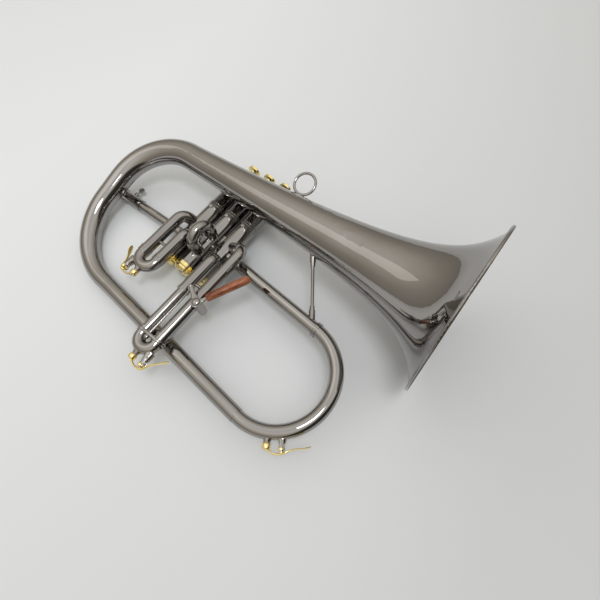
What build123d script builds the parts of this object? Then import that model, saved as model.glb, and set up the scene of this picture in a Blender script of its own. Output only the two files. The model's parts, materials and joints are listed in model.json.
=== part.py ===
"""Three-valve flugelhorn, laid on its left side on a table.

The horn is drawn in its own axes and then laid down by REST: +X runs forward out of the bell,
+Y is up along the valves as the horn is played, and +Z is the player's right, which faces up
when the horn lies on its left side. The bell axis is the X axis and the rim is at X = 0.
"""

import os
from math import cos, radians, sin

from build123d import *

# Driving dimensions, millimetres and degrees.
WALL = 0.7
FIT = 0.05
RIM_RADIUS = 77.8
BELL_LENGTH = 308.0
FLARE_OFFSET = 19.2
FLARE_POWER = 0.56
BELL_THINNING = 0.006
BELL_JOINT = -92.0
RIM_BEAD = 1.5

VALVE_HEIGHT = -35.0
VALVE_X = (-269.5, -246.5, -223.5)
CASING_RADIUS = 9.75
CASING_BORE = 8.55
CASING_RINGS = (-21.5, -18.9, -91.0)
CASING_TOP = 12.0
CASING_BOTTOM = -92.0
GUIDE_SCREW_Y = -25.7
VALVE_LINK_Y = -60.0
PORT_RADIUS = 4.6
PORT_LENGTH = 14.0
PISTON_RADIUS = 8.5
PISTON_TOP = -10.0
PISTON_LENGTH = 54.0
STEM_RADIUS = 2.2
CAP_RADIUS = 10.6
CAP_TOP = 20.0
FELT_TOP = 21.8
BUTTON_BASE = 40.0
BUTTON_RADIUS = 7.6
BOTTOM_CAP_LENGTH = 9.0
SPRING_TURNS = 7
SPRING_RADIUS = 5.4
SPRING_WIRE = 0.55

BOW_RADIUS = 51.4
BOW_CENTRE = (-98.9, -122.3)
BRANCH_SLOPE = 5.5
LOWER_SLOPE = 5.2
FRONT_BRANCH_RADII = (5.9, 6.5)
BOW_TUBE_RADIUS = 6.6
LOWER_BRANCH_RADII = (7.1, 8.4)
LOWER_BRANCH_END = -297.0
LOWER_FERRULE_PLACE = 0.55
LOWER_FERRULE_BORE = 7.9
REAR_BOW_X = -373.0
REAR_BOW_BENDS = (72.0, 60.0)
REAR_BOW_SECTIONS = 25
REAR_BOW_GROWTH = 0.85
REAR_BOW_JOINT_Y = -85.0

SLIDE_HEIGHT = -18.0
SLEEVE_RADIUS = 6.2
SLEEVE_BORE = 5.4
LEG_RADIUS = 5.34
LEG_WALL = 0.5
CROOK_TUBE = 6.0
COLLAR_RADIUS = 6.6
COLLAR_LENGTH = 6.5
COLLAR_GAP = 0.3
SHORT_COLLAR = 3.5
WIDE_KNUCKLE = 11.0
TIGHT_KNUCKLE = 8.0
SLIDE_1_X = (-282.3, -261.8)
SLIDE_1_PORTS = (-50.5, -67.0)
SLIDE_1_SLEEVES = (-107.2, -107.2)
SLIDE_1_CROOK = 111.0
SLIDE_1_STAY_Y = -92.0
SLIDE_1_INSERTION = 16.0
SLIDE_2_Y = (-52.5, -74.0)
SLIDE_2_X = -244.0
SLIDE_2_SLEEVE = -19.0
SLIDE_2_CROOK = 20.4
SLIDE_2_INSERTION = 6.0
SLIDE_3_X = (-217.0, -198.5)
SLIDE_3_PORTS = (-73.0, -50.0)
SLIDE_3_SLEEVES = (-119.0, -164.0)
SLIDE_3_CROOK = 171.0
SLIDE_3_STAY_Y = -106.0
SLIDE_3_INSERTION = 20.0
SUPPORT_Y = -159.0

MOUTHPIPE_Y = -66.0
MOUTHPIPE_SLEEVE = (-376.0, -349.0)
MOUTHPIPE_RADII = (5.0, 5.2)
TUNING_SLEEVE = 6.0
TUNING_BORE = 5.45
TUNING_INSERTION = 24.0
RECEIVER_END = -385.0
RECEIVER_BORE = 4.9
RECEIVER_DEPTH = 25.0
STRUT_X = -369.0
LOCK_X = -362.0
LOCK_SHANK = 1.1
LOCK_TIP = 7.0
LOCK_SHANK_LENGTH = 6.0
LOCK_GRIP_REACH = 15.0
SHOULDER = 4.0

BRACE_ENDS = ((-138.0, -16.0, -4.0), (-101.5, -69.5, -35.0))
RING_X = -181.0
RING_REACH = 31.8
RING_TILT = 22.0
RING_RADIUS = 10.8
RING_WIRE = 1.3

KEY_PIVOT = 13.0
KEY_HEIGHT = 5.8
KEY_PIN = 0.9
KEY_ROOT = 9.0
KEY_ARM = 21.0
NIPPLE_HEIGHT = 2.0
CORK_THICKNESS = 2.2
BOW_KEY_ANGLE = -60.0
KEY_1_TURN = 62.0
KEY_2_TURN = 14.0
KEY_3_TURN = 46.0

CRANK_PIVOT = (-191.0, -121.0)
CRANK_PIN = (-207.5, -112.0)
CRANK_BASE = -8.6
BRACKET_BASE = -27.0
CRANK_THICKNESS = 2.4
HANDLE_ANGLE = 63.0
HANDLE_START = 9.5
HANDLE_LENGTH = 43.0
HANDLE_RADIUS = 4.4
ROD_HEIGHT = -11.7
SLOT_SHIFT = 1.15
UPWARD = (Align.CENTER, Align.CENTER, Align.MIN)

REST_ROLL = 1.81
REST_PITCH = -5.135
REST_SHIFT = (187.53, 57.85, 77.58)
PITCHED = Location(REST_SHIFT, (0, REST_PITCH, 0))
REST = PITCHED * Location((0, 0, 0), (REST_ROLL, 0, 0))


def save(piece, name):
    """Label a finished piece, lay it in the rest pose and write it."""
    piece.part.label = name
    export_step(piece.part.moved(REST), f"parts/{name}.step")


def bell_radius(depth):
    """Outside radius at a depth behind the rim: a horn flare that thins into a cone."""
    flare = RIM_RADIUS * (FLARE_OFFSET / (FLARE_OFFSET + depth)) ** FLARE_POWER
    return flare - BELL_THINNING * depth


def bell_line(inset):
    """The bell's wall line, as a spline inset by a thickness measured square to the wall."""
    points = []
    for step in range(13):
        depth = BELL_LENGTH * (step / 12) ** 2
        slope = FLARE_POWER * (bell_radius(depth) / (FLARE_OFFSET + depth))
        points.append((-depth, bell_radius(depth) - inset * (1 + slope**2) ** 0.5))
    return Spline(*points)


def revolve_wall(line):
    """Close a line down to the X axis and turn it into a solid of revolution."""
    with BuildLine() as outline:
        add(line)
        Polyline(line @ 1, ((line @ 1).X, 0), ((line @ 0).X, 0), line @ 0)
    with BuildSketch() as section:
        add(outline.line)
        make_face()
    return revolve(section.sketch, axis=Axis.X, mode=Mode.PRIVATE)


def tapered(points, radii, bends=None):
    """Solid round horn tube along a route, its radius running through the list."""
    with BuildLine() as route:
        if bends:
            FilletPolyline(*points, radius=bends)
        else:
            Line(*points)
    path = route.wire()
    with BuildPart() as tube:
        for step, radius in enumerate(radii):
            place = step / (len(radii) - 1)
            with BuildSketch(Plane(path @ place, x_dir=(0, 0, 1), z_dir=path % place)):
                Circle(radius)
        loft()
    return tube.part


def swept(points, radius, bend=0.0):
    """Solid round tube of one radius along straight runs joined by round bends."""
    with BuildLine() as route:
        if bend:
            FilletPolyline(*points, radius=bend)
        else:
            Line(*points)
    with BuildPart() as tube:
        with BuildSketch(Plane(route.wire() ^ 0)):
            Circle(radius)
        sweep(path=route.wire())
    return tube.part


def bow_tube(radius):
    """Solid of the front bow: a half turn between the upper and lower branches."""
    centre = (BOW_CENTRE[0], BOW_CENTRE[1], VALVE_HEIGHT)
    with BuildLine(Plane(centre)) as route:
        CenterArc((0, 0), BOW_RADIUS, 90 - BRANCH_SLOPE, BRANCH_SLOPE - LOWER_SLOPE - 180)
    with BuildPart() as tube:
        with BuildSketch(Plane(route.line ^ 0)):
            Circle(radius)
        sweep(path=route.line)
    return tube.part


def bow_point(angle, radius=BOW_RADIUS):
    """A point of the front bow's plane at an angle and a radius from the bow's centre."""
    turn = radians(angle)
    x, y = BOW_CENTRE[0] + radius * cos(turn), BOW_CENTRE[1] + radius * sin(turn)
    return (x, y, VALVE_HEIGHT)


def upper_branch_points():
    """Ends of the branch from the third valve to the front bow."""
    end = bow_point(90 - BRANCH_SLOPE)
    run = end[0] - VALVE_X[2]
    rise = run * sin(radians(BRANCH_SLOPE)) / cos(radians(BRANCH_SLOPE))
    return (VALVE_X[2], end[1] + rise, VALVE_HEIGHT), end


def lower_branch_points():
    """Ends of the branch from the front bow back to the rear bow."""
    start = bow_point(-90 - LOWER_SLOPE)
    run = start[0] - LOWER_BRANCH_END
    rise = run * sin(radians(LOWER_SLOPE)) / cos(radians(LOWER_SLOPE))
    return start, (LOWER_BRANCH_END, start[1] + rise, VALVE_HEIGHT)


def upper_branch_solid(inset):
    """Solid of the branch from the third valve to the front bow."""
    return tapered(upper_branch_points(), [radius - inset for radius in FRONT_BRANCH_RADII])


def rear_bow_tube(inset):
    """Solid of the rear bow: it climbs out of the valve plane up to the bell's axis."""
    x, y, z = lower_branch_points()[1]
    rise = (x - REAR_BOW_X) * sin(radians(LOWER_SLOPE)) / cos(radians(LOWER_SLOPE))
    points = ((x, y, z), (REAR_BOW_X, y + rise, z), (REAR_BOW_X, 0, 0), (-BELL_LENGTH, 0, 0))
    small, large = LOWER_BRANCH_RADII[1] - inset, bell_radius(BELL_LENGTH) - inset
    steps = [step / (REAR_BOW_SECTIONS - 1) for step in range(REAR_BOW_SECTIONS)]
    radii = [small + (large - small) * step**REAR_BOW_GROWTH for step in steps]
    return tapered(points, radii, REAR_BOW_BENDS)


def casing_core(number, radius=CASING_RADIUS + FIT / 2):
    """Solid cylinder on one valve's axis, to trim what is soldered to the casing."""
    middle = (CASING_TOP + CASING_BOTTOM) / 2
    plane = Plane((VALVE_X[number], middle, VALVE_HEIGHT), z_dir=(0, 1, 0))
    with BuildPart(plane) as core:
        Cylinder(radius, CASING_TOP - CASING_BOTTOM)
    return core.part


def port_planes(number):
    """Planes on the valve axis that look out along each tube soldered to one casing."""
    x = VALVE_X[number]
    reach = SLIDE_HEIGHT - VALVE_HEIGHT
    upper, lower = upper_branch_points()
    ports = {
        0: (
            (MOUTHPIPE_Y, (-1, 0, 0)),
            (SLIDE_1_PORTS[0], (SLIDE_1_X[0] - x, 0, reach)),
            (SLIDE_1_PORTS[1], (SLIDE_1_X[1] - x, 0, reach)),
        ),
        1: ((SLIDE_2_Y[0], (0, 0, 1)), (SLIDE_2_Y[1], (0, 0, 1))),
        2: (
            (SLIDE_3_PORTS[0], (SLIDE_3_X[0] - x, 0, reach)),
            (SLIDE_3_PORTS[1], (SLIDE_3_X[1] - x, 0, reach)),
            (upper[1], (lower[0] - upper[0], lower[1] - upper[1], 0)),
        ),
    }
    return [Plane((x, y, VALVE_HEIGHT), z_dir=way) for y, way in ports[number]]


def bell():
    """Bell, one thin wall in two pieces: the flare with its rolled bead, and the tail behind it."""
    bead = Plane((-RIM_BEAD, 0, 0), z_dir=(1, 0, 0))
    joint = Plane((BELL_JOINT, 0, 0), z_dir=(1, 0, 0))
    for name, side in (("bell_flare", Keep.TOP), ("bell_tail", Keep.BOTTOM)):
        with BuildPart() as wall:
            add(revolve_wall(bell_line(0)))
            with Locations(bead):
                Torus(RIM_RADIUS - RIM_BEAD, RIM_BEAD)
            add(revolve_wall(bell_line(WALL)), mode=Mode.SUBTRACT)
            split(bisect_by=joint, keep=side)
        save(wall, name)


def tube_piece(name, solid, bore, *trims):
    """A hollow tube from its outer and inner solids, cut to sit on its neighbours."""
    with BuildPart() as piece:
        add(solid)
        add(bore, mode=Mode.SUBTRACT)
        for trim in trims:
            add(trim, mode=Mode.SUBTRACT)
    save(piece, name)


def main_tubing():
    """Branches and bows that carry the air from the third valve round to the bell."""
    lower = lower_branch_points()
    tube_piece(
        "upper_branch",
        upper_branch_solid(0),
        upper_branch_solid(WALL),
        casing_core(2),
    )
    tube_piece("front_bow", bow_tube(BOW_TUBE_RADIUS), bow_tube(BOW_TUBE_RADIUS - WALL))
    tube_piece(
        "lower_branch",
        tapered(lower, LOWER_BRANCH_RADII),
        tapered(lower, [radius - WALL for radius in LOWER_BRANCH_RADII]),
    )
    joint = Plane((REAR_BOW_X, REAR_BOW_JOINT_Y, 0), z_dir=(0, 1, 0))
    for name, side in (("rear_bow_lower", Keep.BOTTOM), ("rear_bow_upper", Keep.TOP)):
        with BuildPart() as half:
            add(rear_bow_tube(0))
            add(rear_bow_tube(WALL), mode=Mode.SUBTRACT)
            split(bisect_by=joint, keep=side)
        save(half, name)


def ferrule(name, joint, way, bore, length=13.0):
    """Joint ring with a raised bead at each end, lying along the straight tube behind a joint."""
    way = Vector(*way).normalized()
    middle = Vector(*joint) - way * (length / 2 - 1)
    with BuildPart(Plane(middle, z_dir=way)) as ring:
        Cylinder(bore + 0.5, length)
        for end in (-1, 1):
            with Locations((0, 0, end * (length / 2 - 0.7))):
                Cylinder(bore + 0.9, 1.4)
        fillet(ring.edges().filter_by(GeomType.CIRCLE).group_by(SortBy.RADIUS)[-1], 0.3)
        Cylinder(bore, length, mode=Mode.SUBTRACT)
    save(ring, name)


def ferrules():
    """Rings on the upper bow joint and on the lower branch under the third slide."""
    upper, lower = upper_branch_points(), lower_branch_points()
    along_upper = Vector(*upper[1]) - Vector(*upper[0])
    along_lower = Vector(*lower[1]) - Vector(*lower[0])
    slide_crossing = Vector(*lower[0]) + along_lower * LOWER_FERRULE_PLACE
    ferrule("upper_bow_ferrule", upper[1], along_upper, BOW_TUBE_RADIUS + 0.1, 4.0)
    ferrule("lower_branch_ferrule", slide_crossing, along_lower, LOWER_FERRULE_BORE, 9.0)


def valve_casing(number):
    """Casing tube with its joint rings and the openings of the tubes soldered to it."""
    middle = (CASING_TOP + CASING_BOTTOM) / 2
    plane = Plane((VALVE_X[number], 0, VALVE_HEIGHT), z_dir=(0, 1, 0))
    with BuildPart(plane) as casing:
        with Locations((0, 0, middle)):
            Cylinder(CASING_RADIUS, CASING_TOP - CASING_BOTTOM)
        for height in CASING_RINGS:
            with Locations((0, 0, height)):
                Cylinder(CASING_RADIUS + 0.6, 1.4)
        fillet(casing.edges().filter_by(GeomType.CIRCLE).group_by(SortBy.RADIUS)[-1], 0.35)
        with Locations((0, 0, middle)):
            Cylinder(CASING_BORE, CASING_TOP - CASING_BOTTOM, mode=Mode.SUBTRACT)
    with BuildPart() as drilled:
        add(casing.part)
        for port in port_planes(number):
            with Locations(port):
                Cylinder(PORT_RADIUS, PORT_LENGTH, align=UPWARD, mode=Mode.SUBTRACT)
    save(drilled, f"valve_casing_{number + 1}")


def turned(name, number, outline):
    """A piece of a valve turned about the valve's axis from (radius, height) corners."""
    plane = Plane((VALVE_X[number], 0, VALVE_HEIGHT), x_dir=(1, 0, 0), z_dir=(0, 0, 1))
    with BuildPart() as piece:
        with BuildSketch(plane) as section:
            Polygon(*outline, align=None)
        revolve(axis=Axis((VALVE_X[number], 0, VALVE_HEIGHT), (0, 1, 0)))
    save(piece, f"{name}_{number + 1}")


def valve(number):
    """One valve's turned pieces, from the button on its stem down to the bottom cap."""
    piston_base = PISTON_TOP - PISTON_LENGTH
    hole = STEM_RADIUS + 0.5
    base = CASING_BOTTOM - BOTTOM_CAP_LENGTH
    top_cap = (
        (hole, CASING_TOP + 3), (CASING_BORE, CASING_TOP + 3), (CASING_BORE, CASING_TOP),
        (CAP_RADIUS, CASING_TOP), (CAP_RADIUS, CAP_TOP - 3), (CAP_RADIUS - 2, CAP_TOP), (hole, CAP_TOP),
    )
    bottom_cap = (
        (CASING_BORE, CASING_BOTTOM), (CAP_RADIUS, CASING_BOTTOM), (CAP_RADIUS, CASING_BOTTOM - 3.5),
        (CAP_RADIUS - 1, CASING_BOTTOM - 4.5), (CAP_RADIUS - 1, base + 2.5), (CAP_RADIUS - 3.5, base),
        (2.5, base), (2.5, base + 2), (CASING_BORE, base + 4),
    )
    felt = ((hole, CAP_TOP), (6.0, CAP_TOP), (6.0, FELT_TOP), (hole, FELT_TOP))
    button = (
        (0, BUTTON_BASE), (3.2, BUTTON_BASE), (4.0, BUTTON_BASE + 1.4), (BUTTON_RADIUS, BUTTON_BASE + 2),
        (BUTTON_RADIUS, BUTTON_BASE + 4.2), (BUTTON_RADIUS - 0.8, BUTTON_BASE + 5),
        (BUTTON_RADIUS - 1.8, BUTTON_BASE + 4.5), (0, BUTTON_BASE + 4.2),
    )
    piston = (
        (0, piston_base + 3), (PISTON_RADIUS - 1.5, piston_base + 3), (PISTON_RADIUS - 1.5, piston_base),
        (PISTON_RADIUS, piston_base), (PISTON_RADIUS, PISTON_TOP - 1), (PISTON_RADIUS - 1, PISTON_TOP),
        (STEM_RADIUS, PISTON_TOP), (STEM_RADIUS, BUTTON_BASE), (0, BUTTON_BASE),
    )
    turned("top_cap", number, top_cap)
    turned("bottom_cap", number, bottom_cap)
    turned("button_felt", number, felt)
    turned("finger_button", number, button)
    turned("piston", number, piston)
    valve_spring(number, piston_base + 3, base + 4)


def valve_spring(number, top, bottom):
    """Coil spring under one piston, standing on the bottom cap."""
    margin = SPRING_WIRE + 0.25
    foot = (VALVE_X[number], bottom + margin, VALVE_HEIGHT)
    height = top - bottom - 2 * margin
    with BuildLine() as coil:
        Helix(height / SPRING_TURNS, height, SPRING_RADIUS, center=foot, direction=(0, 1, 0))
    with BuildPart() as spring:
        with BuildSketch(Plane(coil.line ^ 0)):
            Circle(SPRING_WIRE)
        sweep(path=coil.line)
    save(spring, f"valve_spring_{number + 1}")


def guide_screw(number):
    """Slotted screw below the joint ring, which keeps the piston from turning."""
    plane = Plane((VALVE_X[number], GUIDE_SCREW_Y, VALVE_HEIGHT))
    with BuildPart(plane) as screw:
        Cylinder(1.9, CASING_RADIUS + 1.5, align=UPWARD)
        with Locations((0, 0, CASING_RADIUS + 1.3)):
            Box(4.4, 0.6, 1.0, mode=Mode.SUBTRACT)
    with BuildPart() as seated:
        add(screw.part)
        add(casing_core(number), mode=Mode.SUBTRACT)
    save(seated, f"guide_screw_{number + 1}")


def valve_links():
    """Short tubes that pass the air from each casing to the next."""
    for gap in (0, 1):
        middle = (VALVE_X[gap] + VALVE_X[gap + 1]) / 2
        with BuildPart() as link:
            with Locations(Plane((middle, VALVE_LINK_Y, VALVE_HEIGHT), z_dir=(1, 0, 0))):
                Cylinder(5.6, 14)
            with Locations((middle, VALVE_LINK_Y, VALVE_HEIGHT)):
                Box(8, 34, 3.0)
            for side in (gap, gap + 1):
                add(casing_core(side), mode=Mode.SUBTRACT)
        save(link, f"valve_link_{gap + 1}")


def sleeve_pair(name, number, routes, bends, brace, trims=(), post=None):
    """Two fixed outer slide tubes with their knuckles, and the brace that ties them."""
    with BuildPart() as sleeves:
        for points, bend in zip(routes, bends):
            add(swept(points, SLEEVE_RADIUS, bend))
        for points in routes:
            end, before = Vector(*points[-1]), Vector(*points[-2])
            way = (end - before).normalized()
            with Locations(Plane(end - way * 1.5, z_dir=way)):
                Cylinder(SLEEVE_RADIUS + 0.5, 3.0)
        add(swept(brace, 1.6))
        if post:
            add(swept(post, 2.2))
        for points, bend in zip(routes, bends):
            add(swept(points, SLEEVE_BORE, bend), mode=Mode.SUBTRACT)
        for trim in (casing_core(number),) + trims:
            add(trim, mode=Mode.SUBTRACT)
    save(sleeves, name)


def knuckle_route(number, x, port, end):
    """From a valve's axis out to a slide leg and down the leg to the sleeve's end."""
    return (
        (VALVE_X[number], port, VALVE_HEIGHT), (x, port, SLIDE_HEIGHT), (x, end, SLIDE_HEIGHT),
    )


def slide_sleeves():
    """Outer tubes of the three valve slides."""
    first = [knuckle_route(0, *leg) for leg in zip(SLIDE_1_X, SLIDE_1_PORTS, SLIDE_1_SLEEVES)]
    brace = [(x, SLIDE_1_STAY_Y, SLIDE_HEIGHT) for x in SLIDE_1_X]
    sleeve_pair("slide_1_sleeves", 0, first, (WIDE_KNUCKLE, TIGHT_KNUCKLE), brace)
    second = [
        ((SLIDE_2_X, y, VALVE_HEIGHT), (SLIDE_2_X, y, SLIDE_2_SLEEVE)) for y in SLIDE_2_Y
    ]
    brace = [(SLIDE_2_X, y, SLIDE_2_SLEEVE - 3) for y in SLIDE_2_Y]
    sleeve_pair("slide_2_sleeves", 1, second, (0, 0), brace)
    third = [knuckle_route(2, *leg) for leg in zip(SLIDE_3_X, SLIDE_3_PORTS, SLIDE_3_SLEEVES)]
    brace = [(x, SLIDE_3_STAY_Y, SLIDE_HEIGHT) for x in SLIDE_3_X]
    post = ((SLIDE_3_X[1], SUPPORT_Y - 5, VALVE_HEIGHT), (SLIDE_3_X[1], SUPPORT_Y, SLIDE_HEIGHT))
    branch = tapered(lower_branch_points(), [radius + FIT for radius in LOWER_BRANCH_RADII])
    trims = (upper_branch_solid(-FIT), branch)
    sleeve_pair("slide_3_sleeves", 2, third, (TIGHT_KNUCKLE, WIDE_KNUCKLE), brace, trims, post)


def slide_bow(name, plane, spread, sleeves, depth, insertion, collar):
    """Moving slide: two inner legs, their collars and the crook that joins them.

    The plane's Y axis points out of the sleeves and its X axis runs across the legs.
    """

    def leg_line(side, start, end):
        return [plane.from_local_coords((side * spread / 2, y, 0)) for y in (start, end)]

    legs = list(zip((-1, 1), sleeves))
    with BuildPart() as bow:
        add(crook_solid(plane, spread, depth))
        for side, sleeve in legs:
            add(swept(leg_line(side, sleeve - insertion, depth), LEG_RADIUS))
            add(swept(leg_line(side, depth - collar, depth), COLLAR_RADIUS))
        add(crook_solid(plane, spread, depth, WALL), mode=Mode.SUBTRACT)
        for side, sleeve in legs:
            leg = leg_line(side, sleeve - insertion, depth)
            add(swept(leg, LEG_RADIUS - LEG_WALL), mode=Mode.SUBTRACT)
    save(bow, name)


def crook_solid(plane, spread, depth, inset=0.0):
    """Solid of one slide crook in the plane of its slide."""
    half = spread / 2
    with BuildLine(plane) as turn:
        ThreePointArc((-half, depth), (0, depth + half), (half, depth))
    with BuildPart() as crook:
        with BuildSketch(Plane(turn.line ^ 0)):
            Circle(CROOK_TUBE - inset)
        sweep(path=turn.line)
    return crook.part


def slide_plane(legs):
    """Plane of a slide whose legs run down along -Y, centred between the legs."""
    middle = (sum(legs) / 2, 0, SLIDE_HEIGHT)
    return Plane(middle, x_dir=(-1, 0, 0), z_dir=(0, 0, 1))


def slides():
    """The three moving slide bows."""
    spread = SLIDE_1_X[1] - SLIDE_1_X[0]
    ends = [-end for end in reversed(SLIDE_1_SLEEVES)]
    plane = slide_plane(SLIDE_1_X)
    grip = (SLIDE_1_INSERTION, SHORT_COLLAR)
    slide_bow("slide_1_bow", plane, spread, ends, SLIDE_1_CROOK, *grip)
    spread = SLIDE_2_Y[0] - SLIDE_2_Y[1]
    middle = (SLIDE_2_X, sum(SLIDE_2_Y) / 2, VALVE_HEIGHT)
    plane = Plane(middle, x_dir=(0, 1, 0), z_dir=(1, 0, 0))
    end = SLIDE_2_SLEEVE - VALVE_HEIGHT
    grip = (SLIDE_2_INSERTION, SHORT_COLLAR)
    slide_bow("slide_2_bow", plane, spread, (end, end), SLIDE_2_CROOK, *grip)
    spread = SLIDE_3_X[1] - SLIDE_3_X[0]
    ends = [-end for end in reversed(SLIDE_3_SLEEVES)]
    plane = slide_plane(SLIDE_3_X)
    grip = (SLIDE_3_INSERTION, COLLAR_LENGTH)
    slide_bow("slide_3_bow", plane, spread, ends, SLIDE_3_CROOK, *grip)


def mouthpipe():
    """Fixed mouthpipe with its tuning sleeve, its strut and the boss of the lock screw."""
    end, start = MOUTHPIPE_SLEEVE
    cone = ((start, MOUTHPIPE_Y, VALVE_HEIGHT), (VALVE_X[0], MOUTHPIPE_Y, VALVE_HEIGHT))
    sleeve = ((end, MOUTHPIPE_Y, VALVE_HEIGHT), (start, MOUTHPIPE_Y, VALVE_HEIGHT))
    shoulder = (sleeve[1], (start + SHOULDER, MOUTHPIPE_Y, VALVE_HEIGHT))
    strut = ((STRUT_X, MOUTHPIPE_Y, VALVE_HEIGHT), (STRUT_X, MOUTHPIPE_Y, VALVE_HEIGHT + 22))
    boss = Plane((LOCK_X, MOUTHPIPE_Y, VALVE_HEIGHT), z_dir=(0, 1, 0))
    with BuildPart() as pipe:
        add(tapered(cone, MOUTHPIPE_RADII))
        add(swept(sleeve, TUNING_SLEEVE))
        add(swept(shoulder, TUNING_SLEEVE))
        with Locations(Plane((end + 1.5, MOUTHPIPE_Y, VALVE_HEIGHT), z_dir=(1, 0, 0))):
            Cylinder(TUNING_SLEEVE + 0.6, 3)
        add(swept(strut, 3.0))
        with Locations(boss):
            Cylinder(2.6, TUNING_SLEEVE + 3.0, align=UPWARD)
        add(swept(sleeve, TUNING_BORE), mode=Mode.SUBTRACT)
        add(tapered(cone, [radius - WALL for radius in MOUTHPIPE_RADII]), mode=Mode.SUBTRACT)
        with Locations(boss):
            Cylinder(LOCK_SHANK + FIT, TUNING_SLEEVE + 4.0, align=UPWARD, mode=Mode.SUBTRACT)
        add(casing_core(0), mode=Mode.SUBTRACT)
        add(rear_bow_tube(-FIT), mode=Mode.SUBTRACT)
    save(pipe, "mouthpipe")


def tuning_pipe():
    """Sliding mouthpiece receiver, which pulls out of the tuning sleeve to flatten the pitch."""
    receiver = Plane((RECEIVER_END, MOUTHPIPE_Y, VALVE_HEIGHT), z_dir=(1, 0, 0))
    collar = MOUTHPIPE_SLEEVE[0] - RECEIVER_END
    with BuildPart(receiver) as pipe:
        Cylinder(TUNING_BORE - FIT, collar + TUNING_INSERTION, align=UPWARD)
        Cylinder(TUNING_SLEEVE + 0.3, collar - COLLAR_GAP, align=UPWARD)
        fillet(pipe.edges().filter_by(GeomType.CIRCLE).group_by(SortBy.RADIUS)[-1], 0.8)
        Cylinder(RECEIVER_BORE, RECEIVER_DEPTH, align=UPWARD, mode=Mode.SUBTRACT)
        Cylinder(RECEIVER_BORE - 0.7, collar + TUNING_INSERTION, align=UPWARD, mode=Mode.SUBTRACT)
    save(pipe, "tuning_pipe")


def lock_screw():
    """Thumb screw that holds the tuning pipe, with a flat round grip."""
    with BuildPart(Plane((LOCK_X, MOUTHPIPE_Y, VALVE_HEIGHT), z_dir=(0, 1, 0))) as screw:
        with Locations((0, 0, LOCK_TIP)):
            Cylinder(LOCK_SHANK, LOCK_SHANK_LENGTH, align=UPWARD)
        with Locations((0, 0, LOCK_GRIP_REACH)):
            Cylinder(3.4, 1.8, rotation=(0, 90, 0))
        fillet(screw.edges().filter_by(GeomType.CIRCLE).group_by(SortBy.RADIUS)[-1], 0.6)
    save(screw, "lock_screw")


def bell_brace():
    """Slanting rod with stepped ends between the bell and the upper branch."""
    top, bottom = Vector(*BRACE_ENDS[0]), Vector(*BRACE_ENDS[1])
    way = (bottom - top).normalized()
    with BuildPart() as brace:
        add(swept((top, bottom), 1.6))
        for end, inward in ((top, way), (bottom, way * -1)):
            for reach, radius in ((14.0, 2.9), (18.0, 2.3)):
                add(swept((end, end + inward * reach), radius))
        add(revolve_wall(bell_line(-FIT)), mode=Mode.SUBTRACT)
        add(upper_branch_solid(-FIT), mode=Mode.SUBTRACT)
    save(brace, "bell_brace")


def casing_brace():
    """Short post that holds the middle valve casing to the bell."""
    with BuildPart() as post:
        with Locations((VALVE_X[1], 4, VALVE_HEIGHT)):
            Cylinder(3.2, -VALVE_HEIGHT, align=UPWARD)
        add(casing_core(1), mode=Mode.SUBTRACT)
        add(revolve_wall(bell_line(-FIT)), mode=Mode.SUBTRACT)
    save(post, "casing_brace")


def pinky_ring():
    """Finger ring on a thin plate soldered along the bell, leaning a little to the right."""
    tilt = radians(RING_TILT)
    centre = (RING_X, RING_REACH * cos(tilt), RING_REACH * sin(tilt))
    with BuildPart(Plane(centre, x_dir=(1, 0, 0), z_dir=(0, -sin(tilt), cos(tilt)))) as ring:
        Torus(RING_RADIUS, RING_WIRE)
        with Locations((4, -RING_RADIUS, 0)):
            Box(22, 4.0, 3.0, align=(Align.CENTER, Align.MAX, Align.CENTER))
    with BuildPart() as seated:
        add(ring.part)
        add(revolve_wall(bell_line(-FIT)), mode=Mode.SUBTRACT)
    save(seated, "pinky_ring")


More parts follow.
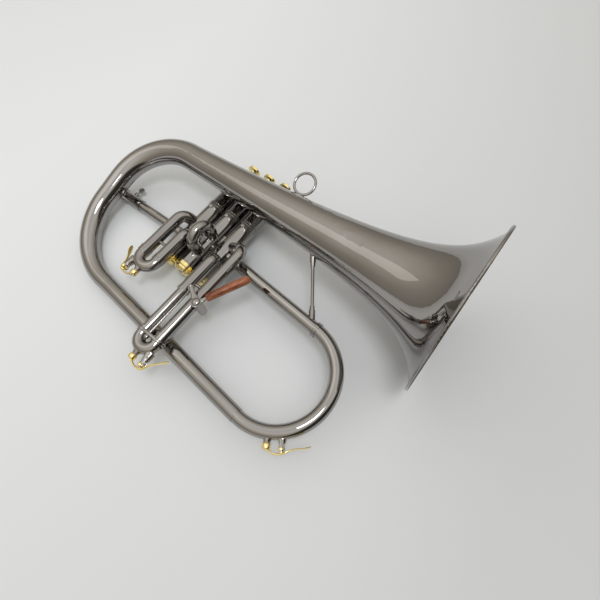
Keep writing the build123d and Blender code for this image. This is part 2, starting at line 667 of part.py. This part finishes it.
def water_key(number, plane, seat, turn):
    """Water key on a crook: saddle with pin and nipple, lever, and cork.

    The plane stands on the tube over the drain nipple, Z outwards and X towards the pivot.
    """
    ears = KEY_HEIGHT + 1.8
    with BuildPart(plane) as rough:
        with Locations((KEY_PIVOT, 0, -KEY_ROOT)):
            Box(4.0, 8.0, KEY_ROOT + ears, align=UPWARD)
        Cylinder(3.0, 2 * NIPPLE_HEIGHT)
        Cylinder(1.2, 4 * NIPPLE_HEIGHT, mode=Mode.SUBTRACT)
        with Locations((KEY_PIVOT / 2, 0, -KEY_ROOT)):
            Box(KEY_PIVOT, 2.4, KEY_ROOT + 0.6, align=UPWARD)
        with Locations((KEY_PIVOT, 0, ears)):
            Box(5.0, 5.2, 2 * ears, mode=Mode.SUBTRACT)
        with Locations((KEY_PIVOT + 2.1, 0, 0)):
            Box(5.0, 5.2, 2 * KEY_ROOT, mode=Mode.SUBTRACT)
        with Locations((KEY_PIVOT, 0, KEY_HEIGHT)):
            Cylinder(KEY_PIN, 9.6, rotation=(90, 0, 0))
    with BuildPart() as saddle:
        add(rough.part)
        add(seat, mode=Mode.SUBTRACT)
    save(saddle, f"key_saddle_{number}")
    with BuildPart(plane) as lever:
        with Locations((KEY_PIVOT, 0, KEY_HEIGHT)):
            Cylinder(2.0, 5.0, rotation=(90, 0, 0))
        with Locations((KEY_PIVOT / 2, 0, KEY_HEIGHT + 0.6)):
            Box(KEY_PIVOT, 2.2, 1.4)
        with Locations((0, 0, NIPPLE_HEIGHT + CORK_THICKNESS)):
            Cylinder(3.5, 2.0, align=UPWARD)
        with Locations(Location((KEY_PIVOT, 0, KEY_HEIGHT), (0, turn, 0))):
            with Locations((KEY_ARM / 2, 0, 0.6)):
                Box(KEY_ARM, 2.0, 1.4)
            with Locations((KEY_ARM, 0, 0.6)):
                Cylinder(3.6, 1.4)
        with Locations((KEY_PIVOT, 0, KEY_HEIGHT)):
            Cylinder(KEY_PIN + FIT, 6.0, rotation=(90, 0, 0), mode=Mode.SUBTRACT)
    save(lever, f"key_lever_{number}")
    with BuildPart(plane) as cork:
        with Locations((0, 0, NIPPLE_HEIGHT)):
            Cylinder(2.9, CORK_THICKNESS, align=UPWARD)
    save(cork, f"key_cork_{number}")


def water_keys():
    """Keys on the first slide's crook, the third slide's crook and the front bow."""
    for number, legs, depth, side, turn in (
        (1, SLIDE_1_X, SLIDE_1_CROOK, -1, KEY_1_TURN),
        (3, SLIDE_3_X, SLIDE_3_CROOK, 1, KEY_3_TURN),
    ):
        spread = legs[1] - legs[0]
        drop = depth + spread / 2 + CROOK_TUBE
        plane = Plane((sum(legs) / 2, -drop, SLIDE_HEIGHT), x_dir=(side, 0, 0), z_dir=(0, -1, 0))
        water_key(number, plane, crook_solid(slide_plane(legs), spread, depth, -FIT), turn)
    angle = radians(BOW_KEY_ANGLE)
    origin = bow_point(BOW_KEY_ANGLE, BOW_RADIUS + BOW_TUBE_RADIUS)
    plane = Plane(origin, x_dir=(-sin(angle), cos(angle), 0), z_dir=(cos(angle), sin(angle), 0))
    water_key(2, plane, bow_tube(BOW_TUBE_RADIUS + FIT), KEY_2_TURN)


def trigger():
    """Third-slide trigger: pivot bracket, crank, wooden handle and link rod."""
    x, y = CRANK_PIVOT
    pin_x, pin_y = CRANK_PIN
    top = CRANK_BASE + CRANK_THICKNESS
    sleeve_line = [(SLIDE_3_X[1], end, SLIDE_HEIGHT) for end in (-90.0, -150.0)]
    with BuildPart() as bracket:
        with Locations((x - 4, y, SLIDE_HEIGHT)):
            Box(8, 6, 7)
        with Locations((x, y, BRACKET_BASE)):
            Cylinder(4.2, CRANK_BASE - 0.1 - BRACKET_BASE, align=UPWARD)
            Cylinder(1.6, top + 1.6 - BRACKET_BASE, align=UPWARD)
        with Locations((x, y, top + 0.1)):
            Cylinder(3.4, 1.6, align=UPWARD)
        with Locations((x, y, top + 1.6)):
            Box(7, 0.8, 1.0, mode=Mode.SUBTRACT)
        add(swept(sleeve_line, SLEEVE_RADIUS + FIT), mode=Mode.SUBTRACT)
    save(bracket, "trigger_bracket")
    way = Vector(cos(radians(HANDLE_ANGLE)), sin(radians(HANDLE_ANGLE)), 0)
    middle = CRANK_BASE + CRANK_THICKNESS / 2
    start = Vector(x, y, middle) + way * HANDLE_START
    with BuildPart() as crank:
        with BuildSketch(Plane.XY.offset(CRANK_BASE)):
            with Locations((x, y)):
                Circle(5.2)
            with Locations((pin_x, pin_y)):
                Circle(2.8)
            with BuildLine():
                Polyline(*arm_outline((x, y), (pin_x, pin_y), 5.2, 2.8), close=True)
            make_face()
        extrude(amount=CRANK_THICKNESS)
        add(swept((Vector(x, y, middle) + way * 4.7, start + way * 7.0), 1.5))
        with Locations((pin_x, pin_y, ROD_HEIGHT - 1.2)):
            Cylinder(1.0, CRANK_BASE - ROD_HEIGHT + 1.2, align=UPWARD)
        with Locations((x, y, CRANK_BASE)):
            Cylinder(1.6 + FIT, CRANK_THICKNESS, align=UPWARD, mode=Mode.SUBTRACT)
    save(crank, "trigger_crank")
    with BuildPart(Plane(start, z_dir=way)) as handle:
        Cylinder(HANDLE_RADIUS, HANDLE_LENGTH, align=UPWARD)
        fillet(handle.edges().sort_by(Axis((0, 0, 0), way))[-1], HANDLE_RADIUS - 0.4)
        Cylinder(1.5, 7.0, align=UPWARD, mode=Mode.SUBTRACT)
    save(handle, "trigger_handle")
    link_rod(pin_x, pin_y)


def arm_outline(first, last, wide, narrow):
    """Corners of a tapering arm between two round ends."""
    along = (Vector(*last) - Vector(*first)).normalized()
    across = Vector(-along.Y, along.X)
    corners = (
        Vector(*first) + across * wide, Vector(*last) + across * narrow,
        Vector(*last) - across * narrow, Vector(*first) - across * wide,
    )
    return [(corner.X, corner.Y) for corner in corners]


def link_rod(pin_x, pin_y):
    """Rod from the crank pin to the third slide's crook, with a slotted eye and a clamp."""
    clamp = -SLIDE_3_CROOK + COLLAR_LENGTH / 2
    collars = [((x, -180.0, SLIDE_HEIGHT), (x, -160.0, SLIDE_HEIGHT)) for x in SLIDE_3_X]
    with BuildPart() as rod:
        with BuildSketch(Plane.XY.offset(ROD_HEIGHT - 0.9)):
            with Locations((pin_x - SLOT_SHIFT, pin_y)):
                SlotOverall(2 * SLOT_SHIFT + 5.6, 5.6)
                SlotOverall(2 * SLOT_SHIFT + 2.7, 2.7, mode=Mode.SUBTRACT)
        extrude(amount=1.8)
        add(swept(((pin_x, pin_y - 2.0, ROD_HEIGHT), (pin_x, clamp, ROD_HEIGHT)), 1.2))
        with Locations((pin_x, clamp, SLIDE_HEIGHT - 3)):
            Box(19, 3.4, ROD_HEIGHT + 1.8 - SLIDE_HEIGHT + 3, align=UPWARD)
        with Locations((pin_x, clamp - 3.0, ROD_HEIGHT)):
            Sphere(2.5)
        for line in collars:
            add(swept(line, COLLAR_RADIUS + FIT), mode=Mode.SUBTRACT)
        with BuildSketch(Plane.XY.offset(ROD_HEIGHT - 0.9)):
            with Locations((pin_x - SLOT_SHIFT, pin_y)):
                SlotOverall(2 * SLOT_SHIFT + 2.7, 2.7)
        extrude(amount=1.8, mode=Mode.SUBTRACT)
    save(rod, "link_rod")


os.makedirs("parts", exist_ok=True)
bell()
main_tubing()
ferrules()
for valve_number in range(3):
    valve_casing(valve_number)
    valve(valve_number)
    guide_screw(valve_number)
valve_links()
slide_sleeves()
slides()
mouthpipe()
tuning_pipe()
lock_screw()
bell_brace()
casing_brace()
pinky_ring()
water_keys()
trigger()
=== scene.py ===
"""Looks of a black-nickel flugelhorn lying on a pale table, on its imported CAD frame.

Blender's objects are in metres. The new pieces are drawn in millimetres, in the horn's own axes,
which the record's joints give: +X runs out of the bell, +Y up along the valves, +Z is the
player's right.
"""

import json
from math import cos, pi, radians, sin

import bpy
from mathutils import Matrix, Vector

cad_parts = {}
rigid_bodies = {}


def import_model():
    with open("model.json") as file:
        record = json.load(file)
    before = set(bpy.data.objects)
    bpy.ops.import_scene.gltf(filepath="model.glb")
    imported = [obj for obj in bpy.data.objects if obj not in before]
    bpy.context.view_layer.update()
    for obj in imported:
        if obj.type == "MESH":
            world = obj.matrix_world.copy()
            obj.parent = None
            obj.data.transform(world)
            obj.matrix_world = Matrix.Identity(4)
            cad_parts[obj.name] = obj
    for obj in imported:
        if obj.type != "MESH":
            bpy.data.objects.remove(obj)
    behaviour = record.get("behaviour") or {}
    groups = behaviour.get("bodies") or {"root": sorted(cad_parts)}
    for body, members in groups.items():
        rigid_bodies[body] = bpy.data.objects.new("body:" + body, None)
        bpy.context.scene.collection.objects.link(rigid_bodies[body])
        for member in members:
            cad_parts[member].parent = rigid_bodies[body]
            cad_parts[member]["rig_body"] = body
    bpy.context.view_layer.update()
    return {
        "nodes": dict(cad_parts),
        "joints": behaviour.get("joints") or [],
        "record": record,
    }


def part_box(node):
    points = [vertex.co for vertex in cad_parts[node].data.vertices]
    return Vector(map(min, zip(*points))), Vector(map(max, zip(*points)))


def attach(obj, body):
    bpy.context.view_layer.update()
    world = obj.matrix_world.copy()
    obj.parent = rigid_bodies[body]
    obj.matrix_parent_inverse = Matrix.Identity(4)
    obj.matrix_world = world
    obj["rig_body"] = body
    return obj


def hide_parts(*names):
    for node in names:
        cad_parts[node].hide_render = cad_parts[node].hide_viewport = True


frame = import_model()
nodes = frame["nodes"]
joints = {joint["name"]: joint for joint in frame["joints"]}

CAMERA_PLACE = (0.1604, -0.1199, 0.3795)
CAMERA_TURN = (24.03, -0.06, 37.84)
CAMERA_LENS = 24.0
DARK_SIDE = -5.0
MM = 0.001

# Fineness of the new meshes: points around a section, steps between knots, sharp edges from here.
AROUND = 24
STEPS = 6
SHARP_ANGLE = 38.0

# The horn's own axes in the row frame, from its slides, and its origin from the trigger's pivot.
FORWARD = -Vector(joints["tuning_pull"]["axis"])
UP = -Vector(joints["slide_1_pull"]["axis"])
RIGHT = Vector(joints["slide_2_pull"]["axis"])
PIVOT_PLACE = Vector((-191.0, -121.0, -7.4)) * MM
TRIGGER_PIVOT = Vector(joints["trigger_squeeze"]["pos_m"])
HORN_ORIGIN = TRIGGER_PIVOT - FORWARD * PIVOT_PLACE.x - UP * PIVOT_PLACE.y - RIGHT * PIVOT_PLACE.z

# Water keys: reach from pivot to cork, lean of that line in radians, ears, and each touch's bend.
KEY_REACH = 13.0
KEY_LEAN = 0.2048
KEY_EAR = 3.0
KEY_SCREW = 3.4
KEY_WRAP = 3.5
KEY_BENDS = {1: 62.0, 2: 14.0, 3: 46.0}

# Trigger, third slide's legs and finger ring, in the horn's axes.
CRANK_PIN = (-16.5, 9.0)
GRIP_START = (4.3, 8.5, 0)
GRIP_WAY = (0.454, 0.891, 0)
ROD_PLACE = (-207.5, -112, -11.7)
CLAMP_DROP = -55.7
CLAMP_START = -57.5
SLIDE_3_LEGS = (-217.0, -198.5)
LEG_BELOW_ROD = -6.3
RING_X = -181.0
RING_REACH = 31.8
RING_TILT = 22.0
RING_RADIUS = 10.8
RING_WIRE = 1.35


# Materials


def new_material(name):
    """A material with its node tree, its Principled shader and object coordinates."""
    material = bpy.data.materials.new(name)
    material.use_nodes = True
    tree = material.node_tree
    shader = tree.nodes["Principled BSDF"]
    place = tree.nodes.new("ShaderNodeTexCoord")
    return material, tree, shader, place.outputs["Object"]


def noise(tree, place, scale, detail=4.0, stretch=(1, 1, 1)):
    """Noise value at a scale per metre, stretched along the axes."""
    mapping = tree.nodes.new("ShaderNodeMapping")
    mapping.inputs["Scale"].default_value = stretch
    texture = tree.nodes.new("ShaderNodeTexNoise")
    texture.inputs["Scale"].default_value = scale
    texture.inputs["Detail"].default_value = detail
    tree.links.new(place, mapping.inputs["Vector"])
    tree.links.new(mapping.outputs["Vector"], texture.inputs["Vector"])
    return texture.outputs["Fac"]


def ramp(tree, value, stops, socket):
    """Colours or greys along a value, led into a socket."""
    band = tree.nodes.new("ShaderNodeValToRGB")
    tree.links.new(value, band.inputs["Fac"])
    while len(band.color_ramp.elements) < len(stops):
        band.color_ramp.elements.new(0.5)
    for element, (position, colour) in zip(band.color_ramp.elements, stops):
        element.position = position
        element.color = (*colour, 1)
    tree.links.new(band.outputs["Color"], socket)


def grey(value):
    return (value, value, value)


def bump(tree, value, shader, strength, distance):
    """Relief from a value on a shader."""
    relief = tree.nodes.new("ShaderNodeBump")
    relief.inputs["Strength"].default_value = strength
    relief.inputs["Distance"].default_value = distance
    tree.links.new(value, relief.inputs["Height"])
    tree.links.new(relief.outputs["Normal"], shader.inputs["Normal"])


def plated(name, light, dark, smooth, dull):
    """Polished plating: cloudy tint, faint wipe marks in its gloss and a slight waviness."""
    material, tree, shader, place = new_material(name)
    shader.inputs["Metallic"].default_value = 1.0
    cloud = noise(tree, place, 14, 3)
    ramp(tree, cloud, ((0.3, dark), (0.7, light)), shader.inputs["Base Color"])
    wipes = noise(tree, place, 60, 6, (0.6, 2.2, 1.0))
    ramp(tree, wipes, ((0.35, grey(smooth)), (0.75, grey(dull))), shader.inputs["Roughness"])
    bump(tree, noise(tree, place, 90, 2), shader, 0.04, 0.0004)
    return material


def make_materials():
    """One material for each of the record's slots."""
    return {
        "black_nickel": plated("black_nickel", (0.37, 0.355, 0.345), (0.31, 0.295, 0.285), 0.03, 0.07),
        "gold_plate": plated("gold_plate", (0.96, 0.82, 0.40), (0.88, 0.70, 0.28), 0.10, 0.2),
        "steel": plated("steel", (0.62, 0.61, 0.60), (0.50, 0.49, 0.48), 0.16, 0.28),
        "wood": wood(),
        "cork": cork(),
        "felt": felt(),
    }


def wood():
    """Oiled reddish hardwood with long fine grain and pores."""
    material, tree, shader, place = new_material("wood")
    grain = noise(tree, place, 420, 8, (0.35, 0.10, 1.0))
    ramp(
        tree, grain,
        ((0.32, (0.09, 0.022, 0.009)), (0.5, (0.25, 0.072, 0.026)), (0.68, (0.42, 0.15, 0.06))),
        shader.inputs["Base Color"],
    )
    pores = noise(tree, place, 900, 3, (0.25, 0.12, 1.0))
    ramp(tree, pores, ((0.35, grey(0.32)), (0.7, grey(0.5))), shader.inputs["Roughness"])
    bump(tree, pores, shader, 0.35, 0.0002)
    return material


def cork():
    """Pressed cork with dark specks."""
    material, tree, shader, place = new_material("cork")
    speck = noise(tree, place, 1600, 5)
    ramp(
        tree, speck, ((0.35, (0.22, 0.12, 0.05)), (0.6, (0.60, 0.40, 0.22))),
        shader.inputs["Base Color"],
    )
    shader.inputs["Roughness"].default_value = 0.8
    bump(tree, speck, shader, 0.4, 0.0003)
    return material


def felt():
    """Black felt."""
    material, tree, shader, place = new_material("felt")
    fibre = noise(tree, place, 3000, 8)
    ramp(tree, fibre, ((0.3, grey(0.01)), (0.7, grey(0.05))), shader.inputs["Base Color"])
    shader.inputs["Roughness"].default_value = 0.95
    shader.inputs["Sheen Weight"].default_value = 0.4
    bump(tree, fibre, shader, 0.5, 0.0004)
    return material


def dress_cad_nodes(materials):
    """Give every CAD node the material of its slot in the record."""
    for part in frame["record"]["subparts"]:
        node = nodes[part["node"]]
        node.data.materials.clear()
        node.data.materials.append(materials[part["material_slot"]])


# Pieces


def horn_place(x, y, z):
    """The horn's axes, moved to a point of the horn in millimetres."""
    place = Matrix((FORWARD, UP, RIGHT)).transposed().to_4x4()
    place.translation = HORN_ORIGIN + (FORWARD * x + UP * y + RIGHT * z) * MM
    return place


def key_place(number):
    """Local axes of a water key: X from its cork to its pivot, Y along its pin, Z away from the tube."""
    low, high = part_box(f"key_cork_{number}")
    pin = Vector(joints[f"water_key_{number}_open"]["axis"]).normalized()
    span = Vector(joints[f"water_key_{number}_open"]["pos_m"]) - (low + high) / 2
    span -= pin * span.dot(pin)
    ahead = Matrix.Rotation(KEY_LEAN, 3, pin) @ span.normalized()
    place = Matrix((ahead, pin, ahead.cross(pin))).transposed().to_4x4()
    place.translation = Vector(joints[f"water_key_{number}_open"]["pos_m"])
    return place


def through(knots):
    """Rows of numbers on a smooth curve through knots."""
    rows = []
    last = len(knots) - 1
    for index in range(last):
        before, start, end, after = (
            knots[max(index - 1, 0)], knots[index], knots[index + 1], knots[min(index + 2, last)],
        )
        for step in range(STEPS):
            t = step / STEPS
            weights = (
                (-t + 2 * t**2 - t**3) / 2, (2 - 5 * t**2 + 3 * t**3) / 2,
                (t + 4 * t**2 - 3 * t**3) / 2, (t**3 - t**2) / 2,
            )
            rows.append([
                sum(weight * knot[number] for weight, knot in zip(weights, (before, start, end, after)))
                for number in range(len(start))
            ])
    rows.append(list(knots[last]))
    return rows


def close_rings(rings, shape):
    """Join rings of points into a closed skin, added to a shape's points and faces."""
    points, faces = shape
    base = len(points)
    for ring in rings:
        points.extend(ring)
    for row in range(len(rings) - 1):
        for turn in range(AROUND):
            near, far = base + row * AROUND, base + (row + 1) * AROUND
            following = (turn + 1) % AROUND
            faces.append((near + turn, near + following, far + following, far + turn))
    faces.append(tuple(base + turn for turn in reversed(range(AROUND))))
    top = base + (len(rings) - 1) * AROUND
    faces.append(tuple(top + turn for turn in range(AROUND)))


def bar(shape, knots, side=(0, 1, 0)):
    """Curved bar of oval section: knots are x, y, z, half width along the side and half thickness."""
    rows = through(knots)
    rings = []
    for index, row in enumerate(rows):
        ahead = Vector(rows[min(index + 1, len(rows) - 1)][:3]) - Vector(rows[max(index - 1, 0)][:3])
        over = ahead.cross(Vector(side)).normalized()
        across = over.cross(ahead).normalized()
        here = Vector(row[:3])
        rings.append([
            here + across * (row[3] * cos(2 * pi * turn / AROUND))
            + over * (row[4] * sin(2 * pi * turn / AROUND))
            for turn in range(AROUND)
        ])
    close_rings(rings, shape)


def lathe(shape, start, way, profile):
    """Turned form about an axis: the profile is a list of distances along it and radii."""
    way = Vector(way).normalized()
    across = way.orthogonal().normalized()
    over = way.cross(across)
    rings = []
    for distance, radius in profile:
        here = Vector(start) + way * distance
        rings.append([
            here + (across * cos(2 * pi * turn / AROUND) + over * sin(2 * pi * turn / AROUND)) * radius
            for turn in range(AROUND)
        ])
    close_rings(rings, shape)


def hoop(shape, radius, wire):
    """Round wire ring about the local Z axis."""
    points, faces = shape
    base = len(points)
    for turn in range(2 * AROUND):
        angle = pi * turn / AROUND
        out = Vector((cos(angle), sin(angle), 0))
        for lift in range(AROUND):
            tilt = 2 * pi * lift / AROUND
            points.append(out * (radius + wire * cos(tilt)) + Vector((0, 0, wire * sin(tilt))))
            near, far = base + turn * AROUND, base + (turn + 1) % (2 * AROUND) * AROUND
            following = (lift + 1) % AROUND
            faces.append((near + lift, far + lift, far + following, near + following))


def piece(name, shape, place, slot, node):
    """Make a mesh of a shape in millimetres, lay it in its place and let it stand for a CAD node."""
    points, faces = shape
    mesh = bpy.data.meshes.new(name)
    mesh.from_pydata([place @ (point * MM) for point in points], [], faces)
    mesh.validate()
    mesh.shade_smooth()
    mesh.set_sharp_from_angle(angle=radians(SHARP_ANGLE))
    form = bpy.data.objects.new(name, mesh)
    bpy.context.scene.collection.objects.link(form)
    mesh.materials.append(materials[slot])
    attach(form, nodes[node]["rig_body"])
    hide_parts(node)


def key_lever(number, bend):
    """Gold lever: cork cup, arm arched over the pivot, hinge barrel and an oval touch."""
    angle = radians(bend)
    bent = Vector((cos(angle), 0, -sin(angle))), Vector((sin(angle), 0, cos(angle)))
    half = Vector((sin(angle / 2), 0, cos(angle / 2))) * KEY_WRAP

    def arm(reach, lift, wide, thick):
        """A knot beyond the pivot, along and above the bent touch."""
        return (*(bent[0] * reach + bent[1] * lift), wide, thick)

    shape = [], []
    lathe(shape, (-KEY_REACH, 0, -2.9), (0, 0, 1), (
        (0, 3.3), (0, 3.6), (0.5, 3.8), (3.6, 3.8), (4.3, 3.4), (4.8, 2.2), (4.9, 0.3),
    ))
    bar(shape, (
        (-14.0, 0, 0.8, 1.0, 0.4), (-12.0, 0, 1.7, 1.9, 0.8), (-8.0, 0, 3.4, 1.7, 0.85),
        (-4.0, 0, 4.2, 1.6, 0.9), (*half, 1.7, 0.9), arm(2.6, 3.0, 1.7, 0.85),
        arm(7.0, 1.6, 1.5, 0.75), arm(12.0, 1.2, 1.9, 0.65), arm(17.0, 1.5, 3.0, 0.65),
        arm(21.0, 1.4, 3.2, 0.65),
        arm(24.0, 0.9, 1.6, 0.5), arm(24.6, 0.8, 0.4, 0.2),
    ))
    lathe(shape, (0, -2.5, 0), (0, 1, 0), ((0, 1.2), (0, 2.2), (5.0, 2.2), (5.0, 1.2)))
    bar(shape, ((0, 0, 1.2, 1.6, 1.5), (*(half * 0.95), 1.6, 1.2)))
    for end in (-1, 1):
        lathe(shape, (0, KEY_SCREW * end, 0), (0, end, 0), (
            (0, 2.0), (0.6, 2.0), (1.1, 1.6), (1.4, 0.8), (1.4, 0.2),
        ))
    node = f"key_lever_{number}"
    piece(f"water_key_lever_{number}", shape, key_place(number), "gold_plate", node)


def key_saddle(number):
    """Nickel saddle: two rounded ears on a post, and the drain nipple under the cork."""
    shape = [], []
    for end in (-1, 1):
        bar(shape, (
            (0.4, KEY_EAR * end, 2.2, 0.5, 1.0), (0.2, KEY_EAR * end, 0, 0.55, 2.3),
            (-0.5, 2.9 * end, -5.0, 0.6, 1.9), (-2.5, 2.5 * end, -13.0, 1.2, 3.4),
        ))
    lathe(shape, (-0.3, 0, -13), (0, 0, 1), (
        (0, 3.6), (4.0, 3.6), (7.6, 3.3), (9.0, 2.2), (9.4, 0.4),
    ))
    lathe(shape, (-KEY_REACH, 0, -9), (0, 0, 1), (
        (0, 4.0), (3.0, 3.9), (4.0, 3.2), (5.2, 3.0), (5.2, 0.4),
    ))
    node = f"key_saddle_{number}"
    piece(f"water_key_saddle_{number}", shape, key_place(number), "black_nickel", node)


def water_keys():
    """Levers and saddles of the three water keys, with each touch bent down beside its tube."""
    for number, bend in KEY_BENDS.items():
        key_lever(number, bend)
        key_saddle(number)


def trigger():
    """Cast crank with a domed pivot head, and the wooden handle on its stub."""
    place = horn_place(*(PIVOT_PLACE / MM))
    shape = [], []
    bar(shape, ((0, 0, 0, 4.4, 1.1), (-4.5, 2.5, 0, 3.4, 1.1), (-10.0, 5.5, 0, 2.3, 1.0),
                (-15.5, 8.5, 0, 2.2, 1.0), (-18.4, 10.0, 0, 1.3, 0.7)), (0.48, 0.88, 0))
    bar(shape, ((0, 0, 0, 3.2, 1.1), (3.0, 5.9, 0, 2.0, 1.1), (4.2, 8.3, 0, 1.8, 1.6),
                (7.5, 14.7, 0, 1.4, 1.4)), (0.89, -0.45, 0))
    lathe(shape, (0, 0, -1.2), (0, 0, 1), (
        (0, 4.9), (0.3, 5.2), (2.0, 5.2), (2.5, 4.9), (2.6, 4.2), (3.4, 4.1), (4.2, 3.4),
        (4.8, 2.0), (5.0, 0.2),
    ))
    lathe(shape, (*CRANK_PIN, -5.2), (0, 0, 1), (
        (0, 1.0), (5.6, 1.0), (5.6, 1.9), (6.5, 1.8), (7.1, 1.0), (7.2, 0.2),
    ))
    piece("trigger_lever", shape, place, "black_nickel", "trigger_crank")
    shape = [], []
    lathe(shape, GRIP_START, GRIP_WAY, (
        (0, 2.6), (0.3, 3.3), (1.2, 3.7), (14, 3.9), (30, 4.05), (40, 3.95), (42.0, 3.3),
        (43.0, 2.0), (43.3, 0.3),
    ))
    piece("trigger_grip", shape, place, "wood", "trigger_handle")


def trigger_rod():
    """Slender rod from the crank pin to round clamps on the collars of the third slide."""
    place = horn_place(*ROD_PLACE)
    shape = [], []
    lathe(shape, (-1.15, 0, -0.8), (0, 0, 1), ((0, 2.9), (0.2, 3.1), (1.4, 3.1), (1.6, 2.9)))
    bar(shape, ((-0.8, -2.4, 0, 1.1, 0.9), (0, -8.0, 0, 1.0, 1.0), (0, -40.0, 0, 1.0, 1.0),
                (0, CLAMP_START, 0, 1.1, 1.1)), (1, 0, 0))
    lathe(shape, (0, -58.6, 0.1), (0, 0, 1), (
        (-1.2, 1.6), (-1.0, 2.2), (1.2, 2.2), (1.8, 1.6), (2.0, 0.3),
    ))
    bar(shape, ((-9.0, CLAMP_DROP, 0.3, 1.6, 0.8), (0, CLAMP_DROP, 0.8, 1.6, 0.9),
                (8.6, CLAMP_DROP, 0.3, 1.6, 0.8)), (0, 1, 0))
    for x in SLIDE_3_LEGS:
        lathe(shape, (x - ROD_PLACE[0], CLAMP_START, LEG_BELOW_ROD), (0, 1, 0), (
            (0, 6.7), (0, 7.2), (0.4, 7.5), (3.0, 7.5), (3.4, 7.2), (3.4, 6.7),
        ))
    piece("trigger_rod", shape, place, "black_nickel", "link_rod")


def finger_ring():
    """Wire finger ring on a thin curved plate along the bell."""
    tilt = radians(RING_TILT)
    centre = horn_place(RING_X, RING_REACH * cos(tilt), RING_REACH * sin(tilt))
    ring = centre @ Matrix.Rotation(tilt, 4, "X")
    shape = [], []
    hoop(shape, RING_RADIUS, RING_WIRE)
    bar(shape, ((-8.0, -12.6, 0, 1.5, 0.5), (-3.0, -12.2, 0, 1.9, 0.9), (3.0, -11.8, 0, 1.9, 1.0),
                (9.0, -12.2, 0, 1.9, 0.9), (15.5, -13.2, 0, 1.5, 0.5)), (0, 0, 1))
    piece("finger_ring", shape, ring, "black_nickel", "pinky_ring")


# Stage


def floor():
    """Pale table top with painted shade: its colour darkens a little towards +X."""
    bpy.ops.mesh.primitive_plane_add(size=6.0)
    table = bpy.context.object
    table.name = "table"
    material, tree, shader, place = new_material("table")
    # Painted shade: a colour gradient that darkens the table towards +X.
    painted_shade_map = tree.nodes.new("ShaderNodeMapping")
    painted_shade_map.inputs["Location"].default_value = (0.5, 0, 0)
    painted_shade_map.inputs["Scale"].default_value = (1.6, -0.3, 0)
    across = tree.nodes.new("ShaderNodeTexGradient")
    tree.links.new(place, painted_shade_map.inputs["Vector"])
    tree.links.new(painted_shade_map.outputs["Vector"], across.inputs["Vector"])
    ramp(
        tree, across.outputs["Fac"], ((0.0, (0.84, 0.875, 0.915)), (1.0, (0.60, 0.62, 0.645))),
        shader.inputs["Base Color"],
    )
    shader.inputs["Roughness"].default_value = 0.55
    table.data.materials.append(material)


def room():
    """Beige room, paler overhead and dark low down beside the bell, as the plating shows it."""
    world = bpy.data.worlds.new("room")
    bpy.context.scene.world = world
    world.use_nodes = True
    tree = world.node_tree
    background = tree.nodes["Background"]
    way = tree.nodes.new("ShaderNodeTexCoord").outputs["Generated"]
    walls = tree.nodes.new("ShaderNodeMix")
    walls.data_type = "RGBA"
    walls.blend_type = "MULTIPLY"
    walls.inputs["Factor"].default_value = 1.0
    split = tree.nodes.new("ShaderNodeSeparateXYZ")
    tree.links.new(way, split.inputs["Vector"])
    ramp(
        tree, split.outputs["Z"],
        ((0.0, (0.36, 0.335, 0.29)), (0.35, (0.50, 0.465, 0.40)), (0.64, (0.76, 0.72, 0.63)),
         (0.87, (1.06, 1.03, 0.97)), (1.0, (0.92, 0.91, 0.90))),
        walls.inputs["A"],
    )
    ramp(
        tree, toward(tree, way, DARK_SIDE, 0.4, 0.45),
        ((0.14, grey(1.0)), (0.36, grey(0.11))),
        walls.inputs["B"],
    )
    tree.links.new(walls.outputs["Result"], background.inputs["Color"])
    background.inputs["Strength"].default_value = 1.0


def toward(tree, way, azimuth, narrowing, lowering):
    """How far a direction points to an azimuth, less shares of how far it points aside and up."""
    along = tree.nodes.new("ShaderNodeVectorMath")
    aside = tree.nodes.new("ShaderNodeVectorMath")
    angle = radians(azimuth)
    ahead, across = (cos(angle), sin(angle), -lowering), (-sin(angle), cos(angle), 0)
    for node, direction in ((along, ahead), (aside, across)):
        node.operation = "DOT_PRODUCT"
        node.inputs[1].default_value = direction
        tree.links.new(way, node.inputs[0])
    size = tree.nodes.new("ShaderNodeMath")
    size.operation = "ABSOLUTE"
    tree.links.new(aside.outputs["Value"], size.inputs[0])
    total = tree.nodes.new("ShaderNodeMath")
    total.operation = "MULTIPLY_ADD"
    total.inputs[1].default_value = -narrowing
    tree.links.new(size.outputs["Value"], total.inputs[0])
    tree.links.new(along.outputs["Value"], total.inputs[2])
    return total.outputs["Value"]


def lamp(name, place, aim, size, power, colour=(1, 1, 1)):
    """Rectangular soft light that faces a point."""
    data = bpy.data.lights.new(name, "AREA")
    data.shape = "RECTANGLE"
    data.size, data.size_y = size
    data.energy = power
    data.color = colour
    light = bpy.data.objects.new(name, data)
    light.location = place
    light.rotation_euler = (Vector(aim) - Vector(place)).to_track_quat("-Z", "Y").to_euler()
    bpy.context.scene.collection.objects.link(light)


def camera():
    """Close wide-angle camera over the table beside the bell's rim, looking down at the horn."""
    data = bpy.data.cameras.new("camera")
    data.lens = CAMERA_LENS
    data.clip_start = 0.01
    view = bpy.data.objects.new("camera", data)
    view.location = CAMERA_PLACE
    view.rotation_euler = [radians(turn) for turn in CAMERA_TURN]
    bpy.context.scene.collection.objects.link(view)
    bpy.context.scene.camera = view


materials = make_materials()
dress_cad_nodes(materials)
water_keys()
trigger()
trigger_rod()
finger_ring()
floor()
room()
lamp("overhead", (0.25, -0.15, 1.4), (0, 0, 0), (0.34, 0.34), 4.6)
lamp("window", (-0.85, -0.27, 1.25), (0.05, 0.06, 0.1), (0.6, 0.9), 0.62, (1.0, 0.98, 0.95))
bpy.context.scene.view_settings.view_transform = "Standard"
camera()
